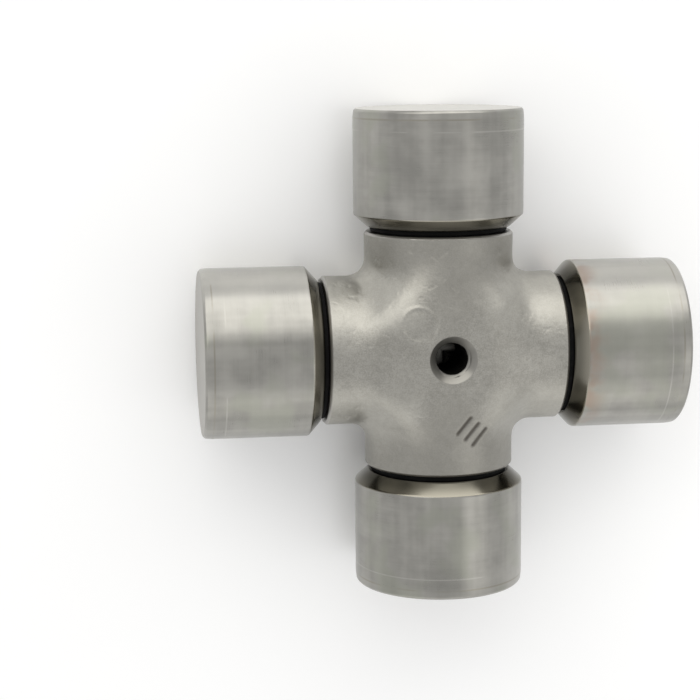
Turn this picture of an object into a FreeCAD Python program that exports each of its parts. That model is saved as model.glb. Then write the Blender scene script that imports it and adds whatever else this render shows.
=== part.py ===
"""Universal joint cross with four needle bearing cups, in millimetres.

Frame: the origin is where the two arm axes cross. X and Y run along the arms and Z points out of
the grease port. Every piece of an arm is drawn with the arm axis along X and its distance from the
crossing as x, and is then turned about Z to its own arm.
"""
import FreeCAD, Part
import Sketcher
import os

ARMS = {"east": 0, "north": 90, "west": 180, "south": 270}
ROUND = 1e-6
FULL_TURN = 360

SIZES = {
    # Driving sizes of the whole cross
    "overall_length": (107.5, "over the end faces of two opposite cups"),
    "cup_diameter": (38.0, "outside of the bearing cup"),
    # The forged cross
    "shoulder_distance": (26.5, "crossing to the flat face round each trunnion"),
    "shoulder_break": (0.5, "chamfer on the rim of that face"),
    "barrel_step": (2.35, "outside of the cup down to the forged barrel of its arm"),
    "hub_inset": (0.25, "ball of the hub short of the corners where the barrels cross"),
    "hub_clearance": (0.3, "outside of the cups down to the pads of the hub"),
    "pad_clearance": (0.1, "barrel up to the outer end of the cut of a pad's side"),
    "pad_rim": (3.7, "countersink of the grease port out to where the pad begins to fall"),
    "pad_angle": (10.8, "degrees, fall of the four sides of each pad"),
    "web_radius": (4.0, "blend between the barrels and the hub"),
    "land_step": (0.75, "ground land under the seal lips above the needle track"),
    "land_length": (3.9, "from the shoulder face"),
    "land_break": (0.35, "chamfer between land and track"),
    "trunnion_break": (0.8, "chamfer at the end of the trunnion"),
    # Grease ways
    "channel_diameter": (5.0, "grease channel along each arm"),
    "centre_diameter": (9.0, "mouth of the centre hole in the trunnion end"),
    "centre_depth": (3.4, "depth of the centre hole's cone"),
    "port_core_diameter": (7.0, "core of the M8 x 1 grease port"),
    "port_mouth_diameter": (10.4, "countersink of the grease port"),
    "port_mouth_angle": (90.0, "degrees, countersink of the grease port"),
    # The bearing cups
    "cup_wall": (4.65, "wall of the cup beside the needles"),
    "cup_floor": (4.5, "closed end of the cup"),
    "cup_end_break": (0.5, "corner of the closed end"),
    "cup_lead_length": (1.5, "shallow lead-in behind that corner"),
    "cup_lead_depth": (0.15, "fall of the lead-in"),
    "cup_mouth_gap": (1.1, "shoulder face to the open end of the cup"),
    "cup_taper_length": (2.7, "taper from the full diameter to the open end"),
    "cup_taper_depth": (3.0, "fall of that taper"),
    "cup_bore_break": (0.4, "chamfer inside the open end"),
    "relief_width": (1.0, "grinding relief in the corner of the cup floor"),
    "relief_depth": (0.3, "grinding relief in the corner of the cup floor"),
    # The needle bearing
    "needle_diameter": (3.0, "loose needle roller"),
    "needle_play": (0.05, "radial gap on each side of a needle"),
    "needle_end_play": (0.1, "gap at each end of a needle"),
    "needle_washer_thickness": (0.8, "steel washer that keeps the needles in"),
    "needle_washer_gap": (0.3, "washer to the seal land"),
    "thrust_washer_thickness": (1.5, "washer between trunnion end and cup floor"),
    "thrust_washer_gap": (0.25, "thrust washer to the cup bore"),
    "thrust_end_play": (0.1, "trunnion end to the thrust washer"),
    "thrust_hole_diameter": (7.0, "hole in the middle of the thrust washer"),
    "thrust_groove_width": (1.8, "grease groove across the thrust washer"),
    "thrust_groove_depth": (0.5, "grease groove across the thrust washer"),
    "thrust_groove_count": (4, "grease grooves on the thrust washer"),
    # The lip seal
    "seal_plug_length": (2.7, "part of the seal inside the cup"),
    "seal_flange_inset": (0.7, "outside of the cup's open end down to the dust lip"),
    "seal_flange_gap": (0.15, "dust lip to the shoulder face"),
    "seal_lip_gap": (0.08, "lips to the seal land"),
    "seal_lip_width": (0.45, "each of the two lips"),
    "seal_lip_slope": (0.45, "slanted flank beside a lip"),
    "seal_web": (1.35, "rubber between the lip root and the cup bore"),
}

# Lengths that follow from the sizes above, as formulas of the sheet
DERIVED = {
    "cup_radius": "cup_diameter / 2",
    "bore_radius": "cup_radius - cup_wall",
    "track_radius": "bore_radius - needle_diameter - 2 * needle_play",
    "land_radius": "track_radius + land_step",
    "barrel_radius": "cup_radius - barrel_step",
    "hub_radius": "barrel_radius * sqrt( 2 ) - hub_inset",
    "hub_top": "cup_radius - hub_clearance",
    "pad_half": "port_mouth_diameter / 2 + pad_rim",
    "pad_foot": "barrel_radius + pad_clearance",
    "pad_reach": "pad_half + ( hub_top - pad_foot ) / tan( pad_angle * 1 deg )",
    "mouth_radius": "cup_radius - cup_taper_depth",
    "flange_radius": "mouth_radius - seal_flange_inset",
    "land_end": "shoulder_distance + land_length",
    "cup_end": "overall_length / 2",
    "cup_mouth": "shoulder_distance + cup_mouth_gap",
    "cup_inside_end": "cup_end - cup_floor",
    "thrust_face": "cup_inside_end - thrust_washer_thickness",
    "trunnion_end": "thrust_face - thrust_end_play",
    "seal_back": "cup_mouth + seal_plug_length",
    "washer_back": "seal_back + needle_washer_thickness",
    "needle_start": "washer_back + needle_end_play",
    "needle_length": "thrust_face - needle_end_play - needle_start",
    "needle_pitch_radius": "track_radius + needle_diameter / 2 + needle_play",
    "needle_half_step": "asin( needle_diameter / 2 / needle_pitch_radius )",
    "needle_count": "floor( 180 deg / needle_half_step )",
}


def fill_sheet(sheet):
    """Writes the driving sizes and the lengths that follow from them, each under its own alias."""
    row = 0
    for name, (value, meaning) in SIZES.items():
        row += 1
        sheet.set("A%d" % row, name)
        sheet.set("B%d" % row, str(value))
        sheet.set("C%d" % row, meaning)
        sheet.setAlias("B%d" % row, name)
    for name, formula in DERIVED.items():
        row += 1
        sheet.set("A%d" % row, name)
        sheet.set("B%d" % row, "=" + formula)
        sheet.setAlias("B%d" % row, name)
    sheet.recompute()


def size(name):
    """Value of one alias of the sheet."""
    return float(SHEET.evalExpression(name))


def bound(formula):
    """The formula with each alias written as a cell of the sheet."""
    words = formula.replace("(", "( ").replace(")", " )").split()
    return " ".join("Sizes." + word if word in SIZES or word in DERIVED else word for word in words)


def make_body(label, turn=0):
    """An empty body, turned about Z to its arm."""
    body = DOC.addObject("PartDesign::Body", label)
    body.Label = label
    body.Placement = FreeCAD.Placement(FreeCAD.Vector(), FreeCAD.Rotation(FreeCAD.Vector(0, 0, 1), turn))
    return body


def origin_feature(body, role):
    """One of the body's own origin planes or axes."""
    return next(item for item in body.Origin.OriginFeatures if item.Role == role)


def make_sketch(body, name, role, height=None):
    """A sketch on one of the body's origin planes, raised by the formula height where one is given."""
    sketch = body.newObject("Sketcher::SketchObject", name)
    sketch.AttachmentSupport = [(origin_feature(body, role), "")]
    sketch.MapMode = "FlatFace"
    if height:
        sketch.setExpression("AttachmentOffset.Base.z", bound(height))
    return sketch


def bind_point(sketch, geometry, point, formulas):
    """Binds one point of the sketch to the sheet, measured from the sketch's origin."""
    for kind, axis, formula in (("DistanceX", -2, formulas[0]), ("DistanceY", -1, formulas[1])):
        if formula == "0":
            sketch.addConstraint(Sketcher.Constraint("PointOnObject", geometry, point, axis))
            continue
        value = sketch.evalExpression(bound(formula))
        index = sketch.addConstraint(Sketcher.Constraint(kind, -1, 1, geometry, point, float(value)))
        sketch.setExpression("Constraints[%d]" % index, bound(formula))


def draw_outline(sketch, corners):
    """A closed outline of straight lines, each corner bound to a pair of formulas."""
    places = [[float(sketch.evalExpression(bound(f))) for f in pair] for pair in corners]
    points = [FreeCAD.Vector(x, y, 0) for x, y in places]
    count = len(points)
    first = sketch.GeometryCount
    for index, point in enumerate(points):
        sketch.addGeometry(Part.LineSegment(point, points[(index + 1) % count]))
    for index in range(count):
        line, after = first + index, first + (index + 1) % count
        sketch.addConstraint(Sketcher.Constraint("Coincident", line, 2, after, 1))
    for index, pair in enumerate(corners):
        bind_point(sketch, first + index, 1, pair)


def draw_circle(sketch, centre, radius):
    """A circle bound to the sheet by its centre and radius."""
    place = [float(sketch.evalExpression(bound(f))) for f in centre]
    value = float(sketch.evalExpression(bound(radius)))
    normal = FreeCAD.Vector(0, 0, 1)
    circle = sketch.addGeometry(Part.Circle(FreeCAD.Vector(*place, 0), normal, value))
    bind_point(sketch, circle, 3, centre)
    index = sketch.addConstraint(Sketcher.Constraint("Radius", circle, value))
    sketch.setExpression("Constraints[%d]" % index, bound(radius))


def pad(body, name, sketch, length, both_sides=False):
    """Pads a sketch by the formula length, half to each side where both_sides is set."""
    feature = body.newObject("PartDesign::Pad", name)
    feature.Profile = sketch
    feature.setExpression("Length", bound(length))
    feature.SideType = "Symmetric" if both_sides else "One side"
    return feature


def turned(body, name, corners, kind="PartDesign::Revolution", axis="H_Axis"):
    """A ring about the X axis, or about Y for V_Axis; corners hold distances along it and radii."""
    sketch = make_sketch(body, name + "_outline", "XY_Plane")
    draw_outline(sketch, corners if axis == "H_Axis" else [(radius, along) for along, radius in corners])
    feature = body.newObject(kind, name)
    feature.Profile = sketch
    feature.ReferenceAxis = (sketch, [axis])
    feature.Angle = FULL_TURN
    return feature


def polar(body, name, originals, axis, count):
    """Repeats features round one of the body's origin axes and makes that the body's tip."""
    pattern = body.newObject("PartDesign::PolarPattern", name)
    pattern.Originals = originals
    pattern.Axis = (origin_feature(body, axis), [""])
    pattern.Angle = FULL_TURN
    pattern.setExpression("Occurrences", bound(count))
    body.Tip = pattern
    return pattern


def edge_names(shape, wanted):
    """Names of the edges that wanted accepts, given the edge and the surfaces that meet there."""
    names = []
    for number, edge in enumerate(shape.Edges, start=1):
        surfaces = [face.Surface for face in shape.ancestorsOfType(edge, Part.Face)]
        if not edge.Degenerated and wanted(edge, surfaces):
            names.append("Edge%d" % number)
    return names


def is_web_edge(edge, surfaces):
    """True for the edges of the barrels inside their shoulders, where they meet the hub."""
    reach = max(max(abs(v.X), abs(v.Y)) for v in edge.Vertexes)
    limit = size("shoulder_distance") - size("shoulder_break") - ROUND
    return reach < limit and any(isinstance(s, Part.Cylinder) for s in surfaces)


def spider():
    """The forged cross: crossing barrels and a ball hub with two sloping pads, and four trunnions."""
    body = make_body("spider")
    arm_count = str(len(ARMS))
    rim = "shoulder_distance - shoulder_break"
    for name, axis in (("barrel_x", "H_Axis"), ("barrel_y", "V_Axis")):
        turned(body, name, [
            ("- shoulder_distance", "0"),
            ("- shoulder_distance", "barrel_radius - shoulder_break"),
            ("- shoulder_distance + shoulder_break", "barrel_radius"),
            (rim, "barrel_radius"),
            ("shoulder_distance", "barrel_radius - shoulder_break"),
            ("shoulder_distance", "0"),
        ], axis=axis)
    hub = body.newObject("PartDesign::AdditiveSphere", "hub_ball")
    hub.setExpression("Radius", bound("hub_radius"))
    DOC.recompute()

    blend = body.newObject("PartDesign::Fillet", "webs")
    blend.Base = (hub, edge_names(hub.Shape, is_web_edge))
    blend.setExpression("Radius", bound("web_radius"))
    DOC.recompute()

    side_view = make_sketch(body, "hub_pad_outline", "XZ_Plane")
    for side in ("1 * ", "-1 * "):
        top, foot, outside = side + "hub_top", side + "pad_foot", side + "2 * hub_radius"
        draw_outline(side_view, [
            ("0", top), ("pad_half", top), ("pad_reach", foot), ("pad_reach", outside), ("0", outside)])
    slope = body.newObject("PartDesign::Pocket", "hub_pad_side")
    slope.Profile = side_view
    slope.SideType = "Symmetric"
    slope.setExpression("Length", bound("4 * hub_radius"))
    DOC.recompute()
    polar(body, "hub_pads", [slope], "Z_Axis", arm_count)
    DOC.recompute()

    trunnion = turned(body, "trunnion", [
        ("shoulder_distance / 2", "0"),
        ("shoulder_distance / 2", "land_radius"),
        ("land_end - land_break", "land_radius"),
        ("land_end", "track_radius"),
        ("trunnion_end - trunnion_break", "track_radius"),
        ("trunnion_end", "track_radius - trunnion_break"),
        ("trunnion_end", "0"),
    ])
    DOC.recompute()
    polar(body, "trunnions", [trunnion], "Z_Axis", arm_count)
    DOC.recompute()

    channel = turned(body, "channel", [
        ("0", "0"),
        ("0", "channel_diameter / 2"),
        ("trunnion_end - centre_depth", "channel_diameter / 2"),
        ("trunnion_end", "centre_diameter / 2"),
        ("trunnion_end", "0"),
    ], "PartDesign::Groove")
    DOC.recompute()
    polar(body, "channels", [channel], "Z_Axis", arm_count)
    DOC.recompute()

    place = make_sketch(body, "grease_port_place", "XY_Plane", "hub_top")
    draw_circle(place, ("0", "0"), "port_core_diameter / 2")
    DOC.recompute()
    port = body.newObject("PartDesign::Hole", "grease_port")
    port.Profile = place
    DOC.recompute()
    port.DepthType = "Dimension"
    port.setExpression("Diameter", bound("port_core_diameter"))
    port.setExpression("Depth", bound("hub_top"))
    port.DrillPoint = "Flat"
    port.HoleCutType = "Countersink"
    port.HoleCutCustomValues = True
    port.setExpression("HoleCutDiameter", bound("port_mouth_diameter"))
    port.setExpression("HoleCutCountersinkAngle", bound("port_mouth_angle"))
    body.Tip = port
    return body


def bearing_cup(arm, turn):
    """A turned and ground cup, closed at the outer end, with a tapered open end."""
    body = make_body("bearing_cup_" + arm, turn)
    turned(body, "cup", [
        ("cup_mouth", "mouth_radius"),
        ("cup_mouth + cup_taper_length", "cup_radius"),
        ("cup_end - cup_end_break - cup_lead_length", "cup_radius"),
        ("cup_end - cup_end_break", "cup_radius - cup_lead_depth"),
        ("cup_end", "cup_radius - cup_lead_depth - cup_end_break"),
        ("cup_end", "0"),
        ("cup_inside_end", "0"),
        ("cup_inside_end", "bore_radius + relief_depth"),
        ("cup_inside_end - relief_width", "bore_radius + relief_depth"),
        ("cup_inside_end - relief_width - relief_depth", "bore_radius"),
        ("cup_mouth + cup_bore_break", "bore_radius"),
        ("cup_mouth", "bore_radius + cup_bore_break"),
    ])
    return body


def lip_seal(arm, turn):
    """A rubber seal pushed into the cup, with two lips on the land and a dust lip at the shoulder."""
    body = make_body("lip_seal_" + arm, turn)
    lip, root = "land_radius + seal_lip_gap", "bore_radius - seal_web"
    face = "shoulder_distance + seal_flange_gap"
    inner = "cup_mouth + seal_plug_length / 2"
    turned(body, "seal", [
        (face, "flange_radius"),
        ("cup_mouth", "flange_radius"),
        ("cup_mouth", "bore_radius + cup_bore_break"),
        ("cup_mouth + cup_bore_break", "bore_radius"),
        ("seal_back", "bore_radius"),
        ("seal_back", root),
        (inner + " + seal_lip_width + seal_lip_slope", root),
        (inner + " + seal_lip_width", lip),
        (inner, lip),
        (inner + " - seal_lip_slope", root),
        (face + " + seal_lip_width + seal_lip_slope", root),
        (face + " + seal_lip_width", lip),
        (face, lip),
    ])
    return body


def needle_washer(arm, turn):
    """A flat steel ring between the seal and the needles."""
    body = make_body("needle_washer_" + arm, turn)
    inner, outer = "land_radius + needle_washer_gap", "bore_radius"
    turned(body, "washer", [
        ("seal_back", inner), ("seal_back", outer), ("washer_back", outer), ("washer_back", inner)])
    return body


def thrust_washer(arm, turn):
    """A disc against the cup floor, with grease grooves on the side of the trunnion."""
    body = make_body("thrust_washer_" + arm, turn)
    inner, outer = "thrust_hole_diameter / 2", "bore_radius - thrust_washer_gap"
    disc = turned(body, "disc", [
        ("thrust_face", inner), ("thrust_face", outer),
        ("cup_inside_end", outer), ("cup_inside_end", inner)])
    DOC.recompute()
    bed = "thrust_face + thrust_groove_depth"
    sketch = make_sketch(body, "groove_outline", "XY_Plane")
    draw_outline(sketch, [
        ("thrust_face - thrust_end_play", "0"), ("thrust_face - thrust_end_play", "bore_radius"),
        (bed, "bore_radius"), (bed, "0")])
    groove = body.newObject("PartDesign::Pocket", "groove")
    groove.Profile = sketch
    groove.SideType = "Symmetric"
    groove.setExpression("Length", bound("thrust_groove_width"))
    DOC.recompute()
    polar(body, "grooves", [groove], "X_Axis", "thrust_groove_count")
    return body


def needle_rollers(arm, turn):
    """A full ring of loose needles round the trunnion."""
    body = make_body("needle_rollers_" + arm, turn)
    body.AllowCompound = True
    sketch = make_sketch(body, "needle_circle", "YZ_Plane", "needle_start")
    draw_circle(sketch, ("needle_pitch_radius", "0"), "needle_diameter / 2")
    needle = pad(body, "needle", sketch, "needle_length")
    DOC.recompute()
    polar(body, "needles", [needle], "X_Axis", "needle_count")
    return body


def check_document():
    """Stops if anything in the document failed."""
    for item in DOC.Objects:
        if "Invalid" in item.State or "Error" in item.State:
            raise RuntimeError("%s failed: %s" % (item.Label, item.State))


def check_solids(body, solids):
    """Stops unless the body's shape is valid and has the expected number of solids."""
    shape = body.Shape
    if shape.isNull() or not shape.isValid() or len(shape.Solids) != solids:
        raise RuntimeError("%s: shape is broken or has %d solids" % (body.Label, len(shape.Solids)))


DOC = FreeCAD.newDocument("universal_joint_cross")
SHEET = DOC.addObject("Spreadsheet::Sheet", "Sizes")
fill_sheet(SHEET)

pieces = [(spider(), 1)]
for arm_name, arm_turn in ARMS.items():
    for make in (bearing_cup, lip_seal, needle_washer, thrust_washer):
        pieces.append((make(arm_name, arm_turn), 1))
    pieces.append((needle_rollers(arm_name, arm_turn), int(size("needle_count"))))

DOC.recompute()
check_document()
os.makedirs("parts", exist_ok=True)
for piece, solids in pieces:
    check_solids(piece, solids)
for piece, _ in pieces:
    piece.Shape.exportStep("parts/%s.step" % piece.Label)
    print("%-22s %2d solids, %9.1f mm3" % (piece.Label, len(piece.Shape.Solids), piece.Shape.Volume))
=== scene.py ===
"""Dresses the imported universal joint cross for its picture.

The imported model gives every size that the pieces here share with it. The forged spider, the
bearing cups and the lip seals are made again as smooth surfaces of the same form, with the
thread, the rounded edges and the unevenness of the forging that the solids leave out. The
needles and washers inside keep their own solids and only get a finish.

Sizes in the classes are millimetres, and a Shell writes its mesh in metres. +Z points out of
the grease port and +X along the east arm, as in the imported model.
"""

import logging
import math
from dataclasses import dataclass
from enum import Enum
from typing import Any, Callable, Sequence

import bmesh
import bpy
import numpy as np
from mathutils import Matrix, Vector

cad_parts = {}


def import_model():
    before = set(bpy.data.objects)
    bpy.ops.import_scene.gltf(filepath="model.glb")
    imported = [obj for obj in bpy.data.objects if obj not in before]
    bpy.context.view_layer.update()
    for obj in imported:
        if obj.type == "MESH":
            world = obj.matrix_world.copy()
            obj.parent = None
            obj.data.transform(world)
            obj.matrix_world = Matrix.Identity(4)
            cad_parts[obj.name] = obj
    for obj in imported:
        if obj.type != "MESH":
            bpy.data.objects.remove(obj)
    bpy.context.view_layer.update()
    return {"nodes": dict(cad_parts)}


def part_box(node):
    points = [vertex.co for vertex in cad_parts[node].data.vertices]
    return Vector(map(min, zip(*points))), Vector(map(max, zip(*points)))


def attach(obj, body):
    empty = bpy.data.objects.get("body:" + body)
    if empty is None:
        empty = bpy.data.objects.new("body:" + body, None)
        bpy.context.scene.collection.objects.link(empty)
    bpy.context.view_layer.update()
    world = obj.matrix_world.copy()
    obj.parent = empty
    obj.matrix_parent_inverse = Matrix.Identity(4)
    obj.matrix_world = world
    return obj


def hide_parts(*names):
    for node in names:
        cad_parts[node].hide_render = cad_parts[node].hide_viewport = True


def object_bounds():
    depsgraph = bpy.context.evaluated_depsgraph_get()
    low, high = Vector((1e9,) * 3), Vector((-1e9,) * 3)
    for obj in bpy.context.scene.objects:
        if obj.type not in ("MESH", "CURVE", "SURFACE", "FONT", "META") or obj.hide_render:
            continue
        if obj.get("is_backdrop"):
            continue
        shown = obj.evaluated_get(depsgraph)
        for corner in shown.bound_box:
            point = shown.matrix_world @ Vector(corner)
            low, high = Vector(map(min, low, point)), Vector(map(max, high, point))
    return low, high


LOG = logging.getLogger("universal_joint_cross")

MM = 0.001
FULL_TURN = 2 * math.pi
WELD = 0.002 * MM
EDGE_ANGLE = math.radians(33)

Colour = tuple[float, float, float]


class Arm(Enum):
    """The four arms, with their turn about Z in quarter turns."""

    EAST = 0
    NORTH = 1
    WEST = 2
    SOUTH = 3

    @property
    def label(self) -> str:
        """The arm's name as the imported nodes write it."""
        return self.name.lower()

    def place(self, points: np.ndarray) -> np.ndarray:
        """Turns points made for the east arm to this arm.

        Args:
            points: Array whose last axis holds x, y and z.

        Returns:
            A new array of the same shape. Quarter turns only swap and negate coordinates, so
            shared border points stay equal.
        """
        x, y, z = np.moveaxis(points, -1, 0)
        turned = {0: (x, y), 1: (-y, x), 2: (-x, -y), 3: (y, -x)}[self.value]
        return np.stack([*turned, z], axis=-1)


def smoothstep(value: np.ndarray, low: float, high: float) -> np.ndarray:
    """Rises smoothly from 0 at low to 1 at high.

    Args:
        value: The numbers to map.
        low: Where the rise starts.
        high: Where it ends.

    Returns:
        3t^2 - 2t^3 with t the clipped share of the way from low to high.
    """
    share = np.clip((value - low) / (high - low), 0.0, 1.0)
    return share * share * (3.0 - 2.0 * share)


def smooth_union(first: np.ndarray, second: np.ndarray, width: np.ndarray | float) -> np.ndarray:
    """Joins two distance fields with a rounded inner corner.

    Args:
        first: Field of the first form, negative inside.
        second: Field of the second form.
        width: Difference of the two fields at which the rounding starts.

    Returns:
        The smaller field, lowered by (width - difference)^2 / 4 width inside the rounding.
    """
    width = np.maximum(width, 1e-6)
    near = np.maximum(width - np.abs(first - second), 0.0)
    return np.minimum(first, second) - near * near / (4.0 * width)


def solve(field: Callable[[np.ndarray], np.ndarray], low: np.ndarray, high: np.ndarray) -> np.ndarray:
    """Finds where a field turns from negative to positive, by halving.

    Args:
        field: Gives the field's value for an array of distances.
        low: Distances that lie inside the form.
        high: Distances that lie outside.

    Returns:
        The distance of the surface for each entry.
    """
    for _ in range(24):
        middle = (low + high) / 2.0
        inside = field(middle) < 0.0
        low = np.where(inside, middle, low)
        high = np.where(inside, high, middle)
    return (low + high) / 2.0


def rounded(corners: Sequence[tuple[float, float, float]], steps: int = 5) -> np.ndarray:
    """An outline with its corners rounded.

    Each corner is replaced by a parabola that starts and ends a given distance from it on the
    two straight runs. One more point beyond each end keeps the flat faces flat in shading.

    Args:
        corners: (x, radius, cut) of each corner, where cut is that distance and 0 keeps it sharp.
        steps: Points on each parabola.

    Returns:
        The outline's points, as (n, 2).
    """
    table = np.array(corners, float)
    points, cut = table[:, :2], table[:, 2:]
    run = np.diff(points, axis=0)
    run /= np.linalg.norm(run, axis=1, keepdims=True)
    arriving = np.vstack([run[:1], run])
    leaving = np.vstack([run, run[-1:]])
    share = np.linspace(0.0, 1.0, steps)[None, :, None]
    start, end = points - arriving * cut, points + leaving * cut
    middle = (1 - share) ** 2 * start[:, None] + 2 * share * (1 - share) * points[:, None]
    middle = middle + share**2 * end[:, None]
    spare = 0.35 * cut
    first, last = (start - arriving * spare)[:, None], (end + leaving * spare)[:, None]
    return np.concatenate([first, middle, last], axis=1).reshape(-1, 2)


def lathe(profile: np.ndarray, columns: int) -> np.ndarray:
    """Turns an outline about the X axis.

    Args:
        profile: (n, 2) points, as x and radius.
        columns: Points on each ring.

    Returns:
        (n, columns, 3) points: x, radius times the cosine and radius times the sine of the angle.
    """
    angle = np.arange(columns) * FULL_TURN / columns
    along = np.repeat(profile[:, :1], columns, axis=1)
    return np.stack([along, profile[:, 1:] * np.cos(angle), profile[:, 1:] * np.sin(angle)], axis=-1)


class Shell:
    """Points and faces of one piece in millimetres, gathered patch by patch."""

    def __init__(self) -> None:
        self.points: list[np.ndarray] = []
        self.faces: list[list[int]] = []
        self.total = 0

    def keep(self, points: np.ndarray) -> np.ndarray:
        """Stores points.

        Args:
            points: Array whose last axis holds x, y and z.

        Returns:
            The number of each point, in the same layout.
        """
        flat = points.reshape(-1, 3)
        numbers = np.arange(self.total, self.total + len(flat)).reshape(points.shape[:-1])
        self.points.append(flat)
        self.total += len(flat)
        return numbers

    def patch(self, points: np.ndarray, closed: bool = True) -> np.ndarray:
        """Adds a grid of points with four-cornered faces between its neighbours.

        Args:
            points: (rows, columns, 3) grid.
            closed: Whether the last column joins the first.

        Returns:
            The grid's point numbers.
        """
        numbers = self.keep(points)
        ring = np.concatenate([numbers, numbers[:, :1]], axis=1) if closed else numbers
        quads = np.stack([ring[:-1, :-1], ring[:-1, 1:], ring[1:, 1:], ring[1:, :-1]], axis=-1)
        self.faces.extend(quads.reshape(-1, 4).tolist())
        return numbers

    def lace(self, first: np.ndarray, second: np.ndarray,
             first_angle: np.ndarray, second_angle: np.ndarray) -> None:
        """Joins two closed rings of different counts with triangles.

        All points are walked in the order of their angle. Each step moves one ring on by one
        point, and its triangle takes in the point where the other ring stands.

        Args:
            first: Point numbers of one ring.
            second: Point numbers of the other ring.
            first_angle: Angle of each point of the first ring.
            second_angle: Angle of each point of the second ring.
        """
        first = first[np.argsort(first_angle % FULL_TURN)]
        second = second[np.argsort(second_angle % FULL_TURN)]
        angles = np.concatenate([np.sort(first_angle % FULL_TURN), np.sort(second_angle % FULL_TURN)])
        is_first = np.arange(angles.size) < first.size
        is_first = is_first[np.argsort(angles, kind="stable")]
        at_first = np.cumsum(is_first) - 1
        at_second = np.cumsum(~is_first) - 1
        on_first, on_second = first[at_first % first.size], second[at_second % second.size]
        past_first = first[(at_first - is_first) % first.size]
        past_second = second[(at_second - ~is_first) % second.size]
        ahead = np.where(is_first, on_first, on_second)
        behind = np.where(is_first, past_first, past_second)
        across = np.where(is_first, on_second, on_first)
        self.faces.extend(np.stack([behind, ahead, across], axis=-1).tolist())

    def piece(self, name: str) -> bpy.types.Object:
        """Welds the patches into one closed mesh.

        Args:
            name: Name of the new object.

        Returns:
            The object, at the origin, with smooth faces and sharp edges where the form has them.
        """
        mesh = bpy.data.meshes.new(name)
        mesh.from_pydata(np.concatenate(self.points) * MM, [], self.faces)
        work = bmesh.new()
        work.from_mesh(mesh)
        bmesh.ops.remove_doubles(work, verts=work.verts, dist=WELD)
        bmesh.ops.recalc_face_normals(work, faces=work.faces)
        gaps = sum(not edge.is_manifold for edge in work.edges)
        work.to_mesh(mesh)
        work.free()
        mesh.shade_smooth()
        mesh.set_sharp_from_angle(angle=EDGE_ANGLE)
        mesh.calc_loop_triangles()
        LOG.info("%s: %d triangles, %d open edges", name, len(mesh.loop_triangles), gaps)
        thing = bpy.data.objects.new(name, mesh)
        bpy.context.scene.collection.objects.link(thing)
        return thing


class Lattice:
    """Smooth noise between -1 and 1, from random numbers on the corners of a cubic lattice."""

    def __init__(self, seed: int, cells: int = 32) -> None:
        self.cells = cells
        self.values = np.random.default_rng(seed).uniform(-1.0, 1.0, (cells, cells, cells))

    def at(self, points: np.ndarray, size: float) -> np.ndarray:
        """Noise at some points.

        Args:
            points: Array whose last axis holds x, y and z.
            size: Edge of a lattice cell, in millimetres.

        Returns:
            The corner values around each point, weighted by a smooth step along each axis.
        """
        place = points / size
        cell = np.floor(place).astype(int)
        part = place - cell
        weight = part * part * (3.0 - 2.0 * part)
        total = np.zeros(points.shape[:-1])
        for corner in np.ndindex(2, 2, 2):
            share = np.prod(np.where(np.array(corner) == 1, weight, 1.0 - weight), axis=-1)
            index = (cell + corner) % self.cells
            total += share * self.values[index[..., 0], index[..., 1], index[..., 2]]
        return total


class Signal:
    """A shader socket that can be used in Python expressions."""

    def __init__(self, recipe: "Recipe", socket: bpy.types.NodeSocket) -> None:
        self.recipe = recipe
        self.socket = socket

    def math(self, operation: str, first: Any, second: Any = None) -> "Signal":
        """Adds a Math node and returns its result."""
        values = {0: first} if second is None else {0: first, 1: second}
        return self.recipe.add("ShaderNodeMath", {"operation": operation}, values)

    def sign(self) -> "Signal":
        """-1, 0 or 1."""
        return self.math("SIGN", self)

    def __add__(self, other: Any) -> "Signal":
        """Sum."""
        return self.math("ADD", self, other)

    def __sub__(self, other: Any) -> "Signal":
        """Difference."""
        return self.math("SUBTRACT", self, other)

    def __rsub__(self, other: Any) -> "Signal":
        """Difference, from a number."""
        return self.math("SUBTRACT", other, self)

    def __mul__(self, other: Any) -> "Signal":
        """Product."""
        return self.math("MULTIPLY", self, other)

    __radd__ = __add__
    __rmul__ = __mul__

    def bigger(self, other: Any) -> "Signal":
        """The larger of two."""
        return self.math("MAXIMUM", self, other)

    def smaller(self, other: Any) -> "Signal":
        """The smaller of two."""
        return self.math("MINIMUM", self, other)

    def size(self) -> "Signal":
        """The value without its sign."""
        return self.math("ABSOLUTE", self)

    def root(self) -> "Signal":
        """The square root."""
        return self.math("SQRT", self)

    def toward(self, value: float, share: "Signal") -> "Signal":
        """The value moved by a share of the way to a number."""
        return self * (1 - share) + value * share

    def rise(self, low: float, high: float) -> "Signal":
        """Smooth rise from 0 at low to 1 at high, or a fall where low is the larger."""
        ends = {"Value": self, "From Min": min(low, high), "From Max": max(low, high)}
        if low > high:
            ends.update({"To Min": 1.0, "To Max": 0.0})
        return self.recipe.add("ShaderNodeMapRange", {"interpolation_type": "SMOOTHSTEP"}, ends)


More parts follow.
